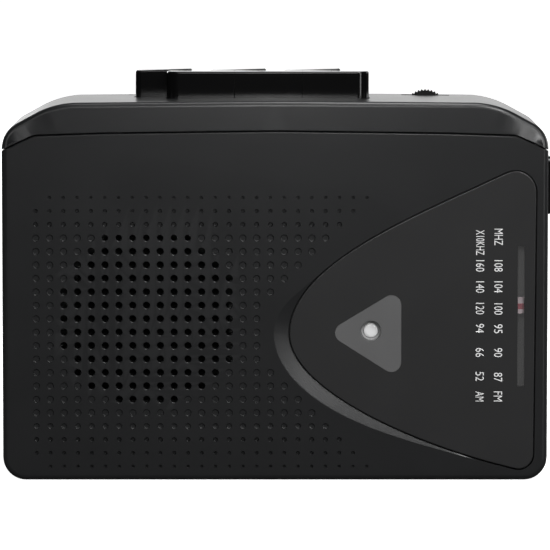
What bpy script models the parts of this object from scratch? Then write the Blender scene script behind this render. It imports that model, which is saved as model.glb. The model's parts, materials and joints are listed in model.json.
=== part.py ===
"""Portable cassette recorder with an AM/FM radio, as separate working pieces.

All sizes below are in millimetres. +X is to the right, the front faces -Y, +Z is up, and the
origin is under the middle of the case, on the surface that the case stands on.
"""

import math

import bmesh
import bpy
from mathutils import Vector

MM = 0.001
GAP = 0.3

# Case
HALF_WIDTH = 60.0
FRONT, BACK = -18.5, 18.5
TOP = 83.7
WALL = 1.8
CORNER_RADIUS = 5.1
EDGE_RADIUS = 1.2
PANEL_BACK = -16.1
SPLIT = -9.7

# Posts and screws that hold the two case halves together
POST_X, POST_LOW, POST_HIGH, POST_RADIUS = 56.2, 10.0, 68.2, 1.9

# Loudspeaker grille: a square grid of holes inside a circle
GRILLE_X, GRILLE_Z = -52.5, 63.23
GRILLE_PITCH_X, GRILLE_PITCH_Z = 3.03, -3.0065
GRILLE_CENTRE = (8.2, 8.88)
GRILLE_REACH = 6.71
GRILLE_HOLE = 0.75
SPEAKER = (-28.0, 35.8)

# Dial lens and what lies behind it
LENS_FRONT, LENS_BACK, LENS_SEAT = -18.35, -17.3, -17.0
LENS_CLEARANCE = 0.25
SCOOP_WIDTH = 3.4
LED = (21.1, 33.05)
DIAL_SLOT = (53.3, 54.9, 20.82, 51.89)
POINTER_Z, POINTER_HEIGHT = 38.6, 3.5

# Controls
KEY_TOP = 89.5
FRONT_KEY_X, FRONT_KEY_PITCH = -24.05, 15.07
FRONT_KEY_Y = (-4.5, 1.5)
REAR_KEY_X, REAR_KEY_PITCH, REAR_KEY_WIDTH = -31.2, 16.6, 12.6
REAR_KEY_Y = (3.0, 9.5)
VOLUME = (33.9, 79.75)
VOLUME_RADIUS = 5.0
TUNING = (47.0, 36.0)
TUNING_RADIUS = 13.5

# Tape mechanism
CHASSIS_Y = (2.0, 3.0)
HUB_X, HUB_Z = 21.25, 34.8
CAPSTAN = (34.0, 63.5)
CAPSTAN_RADIUS = 1.0
FLYWHEEL_RADIUS = 9.0
MOTOR = (-44.0, 66.0)
PULLEY_RADIUS = 2.5
PINCH = (34.0, 73.65)
PINCH_RADIUS = 4.0

# Cassette door, hinged along its lower edge
DOOR_HALF, DOOR_TOP = 54.0, 72.0
DOOR_Y = (16.5, 18.5)
HINGE_Y, HINGE_Z = 16.9, 4.0

# Battery compartment for two AA cells end to end
BAY_Y = (-15.6, -0.95)
COVER_LEFT = -54.0
COVER_THICK = 1.6


# ---------------------------------------------------------------- outlines

def rounded(corners, steps=6):
    """Closed outline through corners (u, v, radius), each corner turned into an arc."""
    points = []
    count = len(corners)
    for index, (u, v, radius) in enumerate(corners):
        here = Vector((u, v))
        before = (Vector(corners[index - 1][:2]) - here).normalized()
        after = (Vector(corners[(index + 1) % count][:2]) - here).normalized()
        if radius == 0:
            points.append((u, v))
            continue
        half = before.angle(after) / 2
        centre = here + (before + after).normalized() * radius / math.sin(half)
        start = here + before * radius / math.tan(half) - centre
        turn = start.angle_signed(here + after * radius / math.tan(half) - centre)
        for step in range(steps + 1):
            angle = -turn * step / steps
            cosine, sine = math.cos(angle), math.sin(angle)
            points.append((
                centre.x + start.x * cosine - start.y * sine,
                centre.y + start.x * sine + start.y * cosine,
            ))
    return points


def grown(outline, distance):
    """A counter-clockwise outline moved outwards by a distance, or by one distance per point."""
    count = len(outline)
    moved = []
    for index, point in enumerate(outline):
        here = Vector(point)
        ahead = (Vector(outline[(index + 1) % count]) - here).normalized()
        behind = (here - Vector(outline[index - 1])).normalized()
        normal = Vector((ahead.y + behind.y, -ahead.x - behind.x)).normalized()
        stretch = 1 / max(0.5, normal.dot(Vector((ahead.y, -ahead.x))))
        step = distance[index] if isinstance(distance, list) else distance
        moved.append(tuple(here + normal * step * stretch))
    return moved


def circle(radius, sides, centre=(0.0, 0.0)):
    """Regular outline round a centre."""
    return [
        (
            centre[0] + radius * math.cos(2 * math.pi * side / sides),
            centre[1] + radius * math.sin(2 * math.pi * side / sides),
        )
        for side in range(sides)
    ]


def rectangle(low_u, high_u, low_v, high_v):
    return [(low_u, low_v), (high_u, low_v), (high_u, high_v), (low_u, high_v)]


def bezier(start, first, second, end, steps):
    """Points along a cubic curve, without its end point."""
    points = []
    for step in range(steps):
        t = step / steps
        weights = ((1 - t) ** 3, 3 * (1 - t) ** 2 * t, 3 * (1 - t) * t * t, t ** 3)
        points.append(tuple(
            sum(weight * point[axis] for weight, point in zip(weights, (start, first, second, end)))
            for axis in (0, 1)
        ))
    return points


def case_outline():
    """The case seen from the front: square shoulders cut back at the top corners."""
    return rounded([
        (-HALF_WIDTH, 0, CORNER_RADIUS), (HALF_WIDTH, 0, CORNER_RADIUS),
        (HALF_WIDTH, 76.9, 6), (48.4, 83.25, 20), (0, TOP, 900), (-48.4, 83.25, 20),
        (-HALF_WIDTH, 76.9, 6),
    ], 5)


def seam_outline(lift):
    """Everything below the seam between the front panel and the band over it."""
    return [
        (-75, -10), (75, -10), (75, 65.45 + lift), (58.9, 73.15 + lift), (53, 75.95 + lift), (38, 76.45 + lift),
        (0, 76.95 + lift), (-38, 76.45 + lift), (-53, 75.95 + lift), (-58.9, 73.15 + lift), (-75, 65.45 + lift),
    ]


def lens_outline():
    """The pointed dial window, its tip at the left; its first point is the tip."""
    tip = (3.2, 32.46)
    lower = bezier(tip, (3.2, 20.35), (29.84, 8.51), (49.3, 3.5), 12)
    upper = bezier(tip, (3.2, 47.36), (29.2, 57.78), (46.9, 66.07), 12)
    corners = rounded([
        (49.3, 3.5, 0), (56.9, 1.55, 3.3), (57.4, 70.97, 4.6), (46.9, 66.07, 0),
    ], 5)
    return lower + corners + upper[:0:-1]


def scoop_widths(outline):
    """How far the scooped edge reaches beyond each point of the lens outline."""
    widths = []
    for u, v in outline:
        if v < 32.46:
            fade = min(1.0, max(0.0, (u - 3.2) / 46.0))
        else:
            fade = min(1.0, (v - 32.46) / 14.0)
        widths.append(LENS_CLEARANCE + SCOOP_WIDTH * math.cos(fade * math.pi / 2) ** 1.3)
    return widths


# ---------------------------------------------------------------- solids

def at(axis, level, u, v):
    """A point at a level along one axis, u and v being the other two in X, Y, Z order."""
    return {"X": (level, u, v), "Y": (u, level, v), "Z": (u, v, level)}[axis]


def add_rings(shape, rings, closed=False):
    """Skins a row of rings with equal counts; ends are capped unless the row closes on itself."""
    loops = [[shape.verts.new(Vector(point) * MM) for point in ring] for ring in rings]
    pairs = list(zip(loops, loops[1:])) + ([(loops[-1], loops[0])] if closed else [])
    for one, other in pairs:
        for index in range(len(one)):
            shape.faces.new((one[index - 1], one[index], other[index], other[index - 1]))
    if not closed:
        shape.faces.new(loops[0])
        shape.faces.new(loops[-1])


def add_prism(shape, outline, axis, low, high):
    add_rings(shape, [[at(axis, level, u, v) for u, v in outline] for level in (low, high)])


def add_box(shape, x, y, z):
    add_prism(shape, rectangle(x[0], x[1], y[0], y[1]), "Z", z[0], z[1])


def add_turned(shape, profile, centre, axis="Y", sides=24, closed=False):
    """Turns a profile of (radius, level) about an axis through the centre."""
    add_rings(shape, [
        [at(axis, level, u, v) for u, v in circle(radius, sides, centre)]
        for radius, level in profile
    ], closed)


def add_stepped(shape, outline, axis, levels):
    """A prism whose outline is grown by a different distance at each level."""
    add_rings(shape, [
        [at(axis, level, u, v) for u, v in grown(outline, distance)] for level, distance in levels
    ])


def mesh_of(name, build, pivot):
    shape = bmesh.new()
    build(shape)
    bmesh.ops.translate(shape, verts=shape.verts, vec=-Vector(pivot) * MM)
    bmesh.ops.recalc_face_normals(shape, faces=shape.faces)
    mesh = bpy.data.meshes.new(name)
    shape.to_mesh(mesh)
    shape.free()
    return mesh


def add_piece(name, material, build, pivot=(0, 0, 0), smooth=None):
    """One named piece, its origin at the pivot."""
    mesh = mesh_of(name, build, pivot)
    mesh.materials.append(material)
    if smooth:
        mesh.shade_smooth()
        mesh.set_sharp_from_angle(angle=math.radians(smooth))
    piece = bpy.data.objects.new(name, mesh)
    piece.location = Vector(pivot) * MM
    bpy.context.scene.collection.objects.link(piece)
    return piece


def carve(piece, name, build, operation="DIFFERENCE"):
    """Cuts from, adds to or keeps part of a piece with a helper solid."""
    helper = bpy.data.objects.new(name, mesh_of(name, build, (0, 0, 0)))
    helper.hide_render = True
    helper.display_type = "WIRE"
    bpy.context.scene.collection.objects.link(helper)
    cut = piece.modifiers.new(name, "BOOLEAN")
    cut.operation = operation
    cut.solver = "EXACT"
    cut.object = helper


def add_material(name, colour, roughness, metallic=0.0, alpha=1.0):
    material = bpy.data.materials.new(name)
    material.use_nodes = True
    surface = material.node_tree.nodes["Principled BSDF"]
    surface.inputs["Base Color"].default_value = (*colour, 1.0)
    surface.inputs["Roughness"].default_value = roughness
    surface.inputs["Metallic"].default_value = metallic
    surface.inputs["Alpha"].default_value = alpha
    return material


# ---------------------------------------------------------------- case

def add_case_block(shape, low, high):
    """The outer body between two depths, its front or back edge rounded where it ends."""
    levels = []
    if low == FRONT:
        levels += [(FRONT, -EDGE_RADIUS), (FRONT + 0.35, -0.35), (FRONT + EDGE_RADIUS, 0)]
    else:
        levels += [(low, 0)]
    if high == BACK:
        levels += [(BACK - EDGE_RADIUS, 0), (BACK - 0.35, -0.35), (BACK, -EDGE_RADIUS)]
    else:
        levels += [(high, 0)]
    add_stepped(shape, case_outline(), "Y", levels)


def add_posts(shape, radius, low, high):
    for x in (-POST_X, POST_X):
        for z in (POST_LOW, POST_HIGH):
            add_turned(shape, [(radius, low), (radius, high)], (x, z), sides=12)


def add_grille(shape):
    """The open holes in front of the loudspeaker."""
    for row in range(21):
        for column in range(25):
            if math.hypot(column - GRILLE_CENTRE[0], row - GRILLE_CENTRE[1]) < GRILLE_REACH:
                x = GRILLE_X + GRILLE_PITCH_X * column
                z = GRILLE_Z + GRILLE_PITCH_Z * row
                add_prism(shape, circle(GRILLE_HOLE, 6, (x, z)), "Y", FRONT - 1, PANEL_BACK + 1)


def add_lens_seat(shape):
    """The pocket that the lens drops into, with a scooped edge round its tip."""
    lens = lens_outline()
    seat = grown(lens, LENS_CLEARANCE)
    rim = grown(lens, scoop_widths(lens))
    add_rings(shape, [
        [(u, FRONT - 1, v) for u, v in rim], [(u, FRONT, v) for u, v in rim],
        [(u, -17.5, v) for u, v in seat], [(u, LENS_SEAT, v) for u, v in seat],
    ])


def indicator_outline():
    return rounded([(11.2, 32.7, 2.2), (27.8, 22.15, 2.2), (27.8, 42.7, 2.2)], 4)


def build_case(plastic):
    front = add_piece("front_cover", plastic, lambda shape: add_case_block(shape, FRONT, SPLIT - GAP), smooth=40)
    carve(front, "cut_above_seam", lambda shape: add_prism(
        shape, seam_outline(0), "Y", FRONT - 5, SPLIT + 5), "INTERSECT")
    carve(front, "cut_front_hollow", lambda shape: add_prism(
        shape, grown(case_outline(), -WALL), "Y", PANEL_BACK, SPLIT + 5))
    carve(front, "join_front_posts", lambda shape: add_posts(
        shape, POST_RADIUS, PANEL_BACK - 0.5, SPLIT - GAP), "UNION")
    carve(front, "cut_front_pilots", lambda shape: add_posts(shape, 1.05, -13.4, SPLIT + 5))
    carve(front, "cut_lens_seat", add_lens_seat)
    carve(front, "cut_grille", add_grille)

    def add_windows(shape):
        add_prism(shape, rectangle(*DIAL_SLOT), "Y", FRONT, PANEL_BACK + 1)
        add_prism(shape, circle(1.8, 16, LED), "Y", FRONT, PANEL_BACK + 1)
    carve(front, "cut_windows", add_windows)
    carve(front, "cut_indicator_pocket", lambda shape: add_prism(
        shape, grown(indicator_outline(), 0.15), "Y", FRONT, -16.4))
    carve(front, "cut_front_bay", lambda shape: add_box(
        shape, (COVER_LEFT - GAP, 61), (-15.75, SPLIT + 5), (-1, 1.95)))

    rear = add_piece("rear_case", plastic, lambda shape: add_case_block(shape, FRONT, BACK), smooth=40)
    carve(rear, "cut_panel_space", lambda shape: add_prism(
        shape, seam_outline(GAP), "Y", FRONT - 5, SPLIT))
    carve(rear, "cut_rear_hollow", lambda shape: add_prism(
        shape, grown(case_outline(), -WALL), "Y", FRONT + 1.9, 16.3))
    carve(rear, "join_rear_posts", lambda shape: add_posts(shape, POST_RADIUS, SPLIT, 16.6), "UNION")
    carve(rear, "cut_screw_holes", lambda shape: add_posts(shape, 1.05, SPLIT - 1, 16.8))
    carve(rear, "cut_screw_heads", lambda shape: add_posts(shape, 1.75, 16.6, BACK + 1))
    carve(rear, "cut_door_opening", lambda shape: add_box(
        shape, (-DOOR_HALF - GAP, DOOR_HALF + GAP), (15, 20), (2.1, DOOR_TOP + GAP)))

    def add_rear_cuts(shape):
        add_box(shape, (COVER_LEFT - GAP, 61), (SPLIT - 5, BAY_Y[1]), (-1, 1.95))
        add_box(shape, (FRONT_KEY_X - GAP, FRONT_KEY_X + 3 * FRONT_KEY_PITCH), (-4.8, 1.8), (78, 90))
        for index in range(3):
            x = REAR_KEY_X + REAR_KEY_PITCH * index
            add_box(shape, (x - GAP, x + REAR_KEY_WIDTH + GAP), (2.7, 9.8), (78, 90))
        add_box(shape, (28.5, 39.3), (12.1, 14.9), (80.5, 90))
        add_prism(shape, circle(0.6, 8, (-32.6, 13.6)), "Z", 80, 90)
        add_turned(shape, [(TUNING_RADIUS + GAP, -2.5), (TUNING_RADIUS + GAP, 0.9)], TUNING, sides=40)
        add_box(shape, (57.5, 61), (5.9, 9.1), (52.7, 63.3))
        add_turned(shape, [(2.3, -61), (2.3, -57)], (-3, 43), "X", 16)
        add_turned(shape, [(2.3, -61), (2.3, -57)], (-3, 30), "X", 16)
        for side in (-1, 1):
            add_turned(shape, [(1.0, side * 54.0), (1.0, side * 56.0)], (HINGE_Y, HINGE_Z), "X", 12)
    carve(rear, "cut_control_slots", add_rear_cuts)


def build_screws(steel):
    number = 0
    for x in (-POST_X, POST_X):
        for z in (POST_LOW, POST_HIGH):
            number += 1
            add_piece(f"case_screw_{number}", steel, lambda shape: add_turned(
                shape, [(0.5, -13.1), (0.9, -12.2), (0.9, 16.7), (1.55, 16.75), (1.55, 17.9)], (x, z), sides=12,
            ), smooth=40)


# ---------------------------------------------------------------- front of the radio

def build_display(lens_plastic, clear, grey, red, steel):
    def add_lens(shape):
        add_stepped(shape, lens_outline(), "Y", [(LENS_FRONT, -0.12), (LENS_FRONT + 0.12, 0), (LENS_BACK, 0)])
    add_piece("dial_lens", lens_plastic, add_lens, smooth=40)

    plate = add_piece("indicator_plate", grey, lambda shape: add_prism(
        shape, grown(indicator_outline(), -0.05), "Y", -16.95, -16.5))
    carve(plate, "cut_plate_hole", lambda shape: add_prism(shape, circle(1.7, 16, LED), "Y", -18, -15))
    add_piece("indicator_led", clear, lambda shape: add_turned(
        shape, [(0.5, -17.2), (1.2, -17.0), (1.5, -16.4), (1.5, -12), (2.2, -11.9), (2.2, -9.3)], LED, sides=16,
    ), smooth=50)
    add_piece("dial_backplate", grey, lambda shape: add_box(shape, (51.5, 56), (-14.4, -13.8), (19, 53)))
    add_piece("pointer_rail", steel, lambda shape: add_box(shape, (49.5, 50.5), (-14.5, -13.5), (18, 56)))
    half = POINTER_HEIGHT / 2
    add_piece("pointer", red, lambda shape: add_box(
        shape, (48.8, 55.2), (-15.8, -14.8), (POINTER_Z - half, POINTER_Z + half)),
        pivot=(54.1, -15.3, POINTER_Z))


def build_speaker(felt, steel, paper, ferrite):
    add_piece("speaker_felt", felt, lambda shape: add_turned(shape, [(18, -16.0), (18, -15.8)], SPEAKER, sides=32))
    add_piece("speaker_frame", steel, lambda shape: add_turned(shape, [
        (16.2, -15.5), (17.7, -15.5), (17.7, -14.2), (9.6, -9.4), (8.2, -9.4), (8.2, -9.9), (16.2, -14.6),
    ], SPEAKER, sides=32, closed=True), smooth=40)
    add_piece("speaker_cone", paper, lambda shape: add_turned(shape, [
        (0.8, -13.6), (3.2, -13.0), (4.2, -12.3), (15.4, -15.2), (15.4, -14.9), (4.4, -11.9), (3.0, -11.9),
        (0.8, -12.6),
    ], SPEAKER, sides=32), smooth=40)
    add_piece("speaker_magnet", ferrite, lambda shape: add_turned(shape, [
        (9.1, -9.1), (9.5, -8.7), (9.5, -5.4), (9.1, -5.0),
    ], SPEAKER, sides=32), smooth=40)


def build_radio(board, plastic, cream, steel, copper, ferrite, knob, brass):
    add_piece("circuit_board", board, lambda shape: add_box(shape, (-8, 53.7), (-9, -8), (18, 73)))

    def add_capacitor(shape):
        add_box(shape, (39, 55), (-7.7, -2.6), (28, 44))
    capacitor = add_piece("tuning_capacitor", cream, add_capacitor)
    carve(capacitor, "join_capacitor_shaft", lambda shape: add_turned(
        shape, [(1.5, -3.0), (1.5, 0.9)], TUNING, sides=16), "UNION")

    def add_wheel(shape, radius, bore, teeth, depth, low, high, centre):
        outer = []
        for step in range(teeth * 2):
            angle = math.pi * step / teeth
            reach = radius - depth * (step % 2)
            outer.append((centre[0] + reach * math.cos(angle), centre[1] + reach * math.sin(angle)))
        inner = circle(bore, teeth * 2, centre)
        rings = [[(u, y, v) for u, v in ring] for ring, y in (
            (outer, low), (outer, high), (inner, high), (inner, low))]
        add_rings(shape, rings, closed=True)
    add_piece("tuning_wheel", plastic, lambda shape: add_wheel(
        shape, TUNING_RADIUS, 1.6, 44, 0.35, -2.2, 0.6, TUNING), pivot=(TUNING[0], -0.8, TUNING[1]))
    pot = add_piece("volume_pot", steel, lambda shape: add_box(shape, (29.9, 37.9), (-2, 3.1), (78.2, 81.2)))
    carve(pot, "join_pot_shaft", lambda shape: add_turned(
        shape, [(1.0, 2.5), (1.0, 14.8)], VOLUME, sides=12), "UNION")
    add_piece("volume_wheel", plastic, lambda shape: add_wheel(
        shape, VOLUME_RADIUS, 1.1, 24, 0.3, 12.6, 14.6, VOLUME), pivot=(VOLUME[0], 13.6, VOLUME[1]))

    rod = (-12.0, 77.9)
    add_piece("ferrite_rod", ferrite, lambda shape: add_turned(shape, [(3, -30), (3, 25)], rod, "X", 20), smooth=40)
    add_piece("ferrite_coil", copper, lambda shape: add_turned(
        shape, [(3.1, -12), (3.6, -12), (3.6, 8), (3.1, 8)], rod, "X", 20, closed=True), smooth=40)

    for name, z in (("headphone_jack", 43), ("dc_jack", 30)):
        jack = add_piece(name, plastic, lambda shape: add_box(shape, (-58.0, -48), (-6, 0), (z - 3, z + 3)))
        carve(jack, f"cut_{name}", lambda shape: add_turned(shape, [(1.8, -59), (1.8, -50)], (-3, z), "X", 16))

    add_piece("switch_body", steel, lambda shape: add_box(shape, (52.2, 57.0), (5, 10), (52, 65.5)))
    switch = add_piece("switch_knob", knob, lambda shape: add_stepped(shape, rounded([
        (4.9, 57, 1.0), (10.1, 57, 1.0), (10.1, 70, 1.0), (4.9, 70, 1.0)], 3), "X",
        [(60.3, 0), (61.9, 0), (62.4, -0.5)]), pivot=(60.3, 7.5, 63.5), smooth=40)
    carve(switch, "join_switch_stem", lambda shape: add_box(shape, (57.3, 60.6), (6.2, 8.8), (59, 63)), "UNION")
    add_piece("microphone", brass, lambda shape: add_turned(
        shape, [(2.5, 78.6), (2.5, 81.3)], (-32.6, 13.6), "Z", 16), smooth=40)


# ---------------------------------------------------------------- tape mechanism

def belt_outline(slack):
    """A loop round the motor pulley and the flywheel."""
    small, large = PULLEY_RADIUS + slack, FLYWHEEL_RADIUS + slack
    across = Vector(CAPSTAN) - Vector(MOTOR)
    heading = math.atan2(across.y, across.x)
    contact = math.acos((small - large) / across.length)
    points = []
    for centre, radius, start, end, steps in (
        (CAPSTAN, large, heading - contact, heading + contact, 16),
        (MOTOR, small, heading + contact, heading + 2 * math.pi - contact, 8),
    ):
        for step in range(steps + 1):
            angle = start + (end - start) * step / steps
            points.append((centre[0] + radius * math.cos(angle), centre[1] + radius * math.sin(angle)))
    return points


def build_mechanism(steel, bright, rubber, plastic, brass, head_metal):
    chassis = add_piece("chassis", steel, lambda shape: add_box(shape, (-53.5, 53.5), CHASSIS_Y, (3, 73.5)))

    def add_chassis_holes(shape):
        for x, z, radius in ((-HUB_X, HUB_Z, 1.4), (HUB_X, HUB_Z, 1.4), (*CAPSTAN, 1.4)):
            add_turned(shape, [(radius, 0), (radius, 5)], (x, z), sides=16)
    carve(chassis, "cut_chassis_holes", add_chassis_holes)

    add_piece("motor", bright, lambda shape: add_turned(shape, [
        (9.5, -15.3), (10, -14.8), (10, -4.5), (9.5, -4.0), (0.8, -4.0), (0.8, 1.0)], MOTOR, sides=28), smooth=40)
    add_piece("motor_pulley", brass, lambda shape: add_turned(shape, [
        (0.95, -3.4), (PULLEY_RADIUS + 0.8, -3.4), (PULLEY_RADIUS + 0.8, -2.4), (PULLEY_RADIUS, -1.7),
        (PULLEY_RADIUS, 0.4), (0.95, 0.4)], MOTOR, sides=20, closed=True),
        pivot=(MOTOR[0], -1.0, MOTOR[1]), smooth=40)
    add_piece("flywheel", bright, lambda shape: add_turned(shape, [
        (1.1, -2.5), (FLYWHEEL_RADIUS, -2.5), (FLYWHEEL_RADIUS, 1.2), (1.1, 1.2)], CAPSTAN, sides=32, closed=True),
        pivot=(CAPSTAN[0], 0, CAPSTAN[1]), smooth=40)
    add_piece("capstan", bright, lambda shape: add_turned(
        shape, [(0.7, -3.5), (1.0, -3.2), (1.0, 12.7), (0.7, 13)], CAPSTAN, sides=16),
        pivot=(CAPSTAN[0], 0, CAPSTAN[1]), smooth=40)
    add_piece("drive_belt", rubber, lambda shape: add_rings(shape, [
        [(u, y, v) for u, v in belt_outline(slack)]
        for slack, y in ((0.25, -1.3), (1.1, -1.3), (1.1, -0.3), (0.25, -0.3))], closed=True), smooth=40)

    for name, x in (("supply_spindle", -HUB_X), ("takeup_spindle", HUB_X)):
        spindle = add_piece(name, plastic, lambda shape: add_turned(shape, [
            (1.1, 1.6), (1.1, 3.3), (8, 3.3), (8, 4.0), (2.6, 4.05), (2.6, 9.6), (1.2, 11)], (x, HUB_Z)),
            pivot=(x, 3.3, HUB_Z), smooth=40)

        def add_fins(shape):
            for turn in range(3):
                angle = 2 * math.pi * turn / 3
                cosine, sine = math.cos(angle), math.sin(angle)
                corners = [(1.5, -0.5), (4.2, -0.5), (4.2, 0.5), (1.5, 0.5)]
                add_prism(shape, [(x + u * cosine - v * sine, HUB_Z + u * sine + v * cosine)
                                  for u, v in corners], "Y", 4.5, 8.8)
        carve(spindle, f"join_{name}_fins", add_fins, "UNION")

    plate = add_piece("head_plate", bright, lambda shape: add_prism(shape, [
        (-24, 70), (43, 70), (43, 74.4), (20, 74.4), (20, 76), (-24, 76)], "Y", 3.4, 4.2),
        pivot=(0, 3.8, 72))
    carve(plate, "join_pinch_axle", lambda shape: add_turned(
        shape, [(0.75, 3.8), (0.75, 12.4)], PINCH, sides=12), "UNION")
    add_piece("pinch_roller", rubber, lambda shape: add_turned(shape, [
        (0.85, 8), (PINCH_RADIUS, 8), (PINCH_RADIUS, 12), (0.85, 12)], PINCH, sides=24, closed=True),
        pivot=(PINCH[0], 10, PINCH[1]), smooth=40)
    add_piece("tape_head", head_metal, lambda shape: add_prism(shape, rounded([
        (-6, 69.7, 2.2), (6, 69.7, 2.2), (6, 75.8, 0), (-6, 75.8, 0)], 4), "Y", 4.5, 13.5), pivot=(0, 9, 72))
    add_piece("erase_head", plastic, lambda shape: add_prism(shape, rounded([
        (-20, 69.8, 1.5), (-13, 69.8, 1.5), (-13, 75, 0), (-20, 75, 0)], 4), "Y", 4.5, 12.5), pivot=(-16.5, 9, 72))


# ---------------------------------------------------------------- keys

def add_key(shape, x, y, bottom, tops, radii):
    """A key cap: radii round its left and right corners, tops give its left and right height."""
    left, right = radii
    corners = [(x[0], y[0], left), (x[1], y[0], right), (x[1], y[1], right), (x[0], y[1], left)]
    outline = rounded(corners, 3)
    rings = []
    for drop, inset in ((None, 0), (0.6, 0), (0.18, 0.18), (0, 0.6)):
        ring = []
        for u, v in grown(outline, -inset):
            top = tops[0] + (tops[1] - tops[0]) * (u - x[0]) / (x[1] - x[0])
            ring.append((u, v, bottom if drop is None else top - drop))
        rings.append(ring)
    add_rings(shape, rings)


def build_keys(gloss, steel):
    for index, name in enumerate(("play_key", "stop_key", "pause_key")):
        low = FRONT_KEY_X + FRONT_KEY_PITCH * index
        high = low + FRONT_KEY_PITCH - GAP
        radii = (1.6 if index == 0 else 0.8, 1.6 if index == 2 else 0.8)
        add_piece(name, gloss, lambda shape: add_key(
            shape, (low, high), FRONT_KEY_Y, 79.0, (KEY_TOP, KEY_TOP), radii),
            pivot=((low + high) / 2, -1.5, KEY_TOP), smooth=50)
    for index, name in enumerate(("record_key", "rewind_key", "forward_key")):
        low = REAR_KEY_X + REAR_KEY_PITCH * index
        high = low + REAR_KEY_WIDTH
        add_piece(name, gloss, lambda shape: add_key(
            shape, (low, high), REAR_KEY_Y, 80.2, (KEY_TOP - 0.1, KEY_TOP + 0.3), (1.2, 0.8)),
            pivot=((low + high) / 2, 6.25, KEY_TOP), smooth=50)
    add_piece("key_bracket", steel, lambda shape: add_box(shape, (-33, 23), (10.1, 10.9), (77.2, 81.3)))


# ---------------------------------------------------------------- cassette door and battery bay

def build_door(plastic, clear):
    def add_door_plate(shape):
        lower = HINGE_Z + 1.2
        profile = [(DOOR_Y[0], lower), (DOOR_Y[0], DOOR_TOP), (DOOR_Y[1] - 0.6, DOOR_TOP)]
        profile += [(DOOR_Y[1], DOOR_TOP - 0.6), (DOOR_Y[1], HINGE_Z)]
        for step in range(1, 9):
            angle = -math.radians(15 * step)
            profile.append((HINGE_Y + 1.6 * math.cos(angle), HINGE_Z + 1.6 * math.sin(angle)))
        add_prism(shape, profile, "X", -DOOR_HALF, DOOR_HALF)
    door = add_piece("cassette_door", plastic, add_door_plate, pivot=(0, HINGE_Y, HINGE_Z), smooth=30)

    def add_pocket(shape):
        outer = [(-53, 4.4), (53, 4.4), (53, 40), (51.3, 40), (51.3, 5.3), (-51.3, 5.3), (-51.3, 40), (-53, 40)]
        add_prism(shape, outer, "Y", 5.0, 16.8)
    carve(door, "join_door_pocket", add_pocket, "UNION")

    def add_stubs(shape):
        for side in (-1, 1):
            add_turned(shape, [(0.9, side * 53.0), (0.9, side * 55.6)], (HINGE_Y, HINGE_Z), "X", 12)
    carve(door, "join_door_stubs", add_stubs, "UNION")
    carve(door, "cut_door_window", lambda shape: add_prism(
        shape, rounded([(-24, 24, 2), (24, 24, 2), (24, 46, 2), (-24, 46, 2)], 3), "Y", 15, 20))
    add_piece("door_window", clear, lambda shape: add_prism(
        shape, rounded([(-23.7, 24.3, 1.7), (23.7, 24.3, 1.7), (23.7, 45.7, 1.7), (-23.7, 45.7, 1.7)], 3),
        "Y", 16.9, 18.3), pivot=(0, HINGE_Y, HINGE_Z))


def build_battery_bay(plastic, shell, steel, bright):
    tray = add_piece("battery_tray", plastic, lambda shape: add_box(shape, (-53.9, 53.9), (-16.0, -0.3), (2.1, 17.6)))
    carve(tray, "cut_battery_bay", lambda shape: add_box(shape, (-52.9, 52.9), (BAY_Y[0], -0.8), (0, 16.9)))

    def add_cover(shape):
        centre = (HALF_WIDTH - CORNER_RADIUS, CORNER_RADIUS)
        end = math.asin((CORNER_RADIUS - COVER_THICK) / CORNER_RADIUS)
        profile = [(COVER_LEFT, 0)]
        for step in range(7):
            angle = -math.pi / 2 + (math.pi / 2 - end) * step / 6
            profile.append((centre[0] + CORNER_RADIUS * math.cos(angle), centre[1] + CORNER_RADIUS * math.sin(angle)))
        profile.append((COVER_LEFT, COVER_THICK))
        add_prism(shape, profile, "Y", -15.45, BAY_Y[1] - GAP)
    add_piece("battery_cover", shell, add_cover, pivot=(0, -8, 0))

    coil = bpy.data.curves.new("battery_spring", "CURVE")
    coil.dimensions = "3D"
    coil.bevel_depth = 0.28 * MM
    coil.bevel_resolution = 1
    coil.use_fill_caps = True
    spline = coil.splines.new("POLY")
    turns, per_turn = 2.5, 12
    count = int(turns * per_turn) + 1
    spline.points.add(count - 1)
    for index, point in enumerate(spline.points):
        angle = 2 * math.pi * index / per_turn
        share = index / (count - 1)
        radius = 4.2 - 1.6 * share
        place = (-52.4 + 1.6 * share, -8.2 + radius * math.cos(angle), 9.5 + radius * math.sin(angle))
        point.co = (*(Vector(place) * MM), 1)
    coil.materials.append(bright)
    bpy.context.scene.collection.objects.link(bpy.data.objects.new("battery_spring", coil))
    add_piece("battery_contact", bright, lambda shape: add_box(shape, (52.1, 52.5), (-12.5, -4), (5, 14)))


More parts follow.
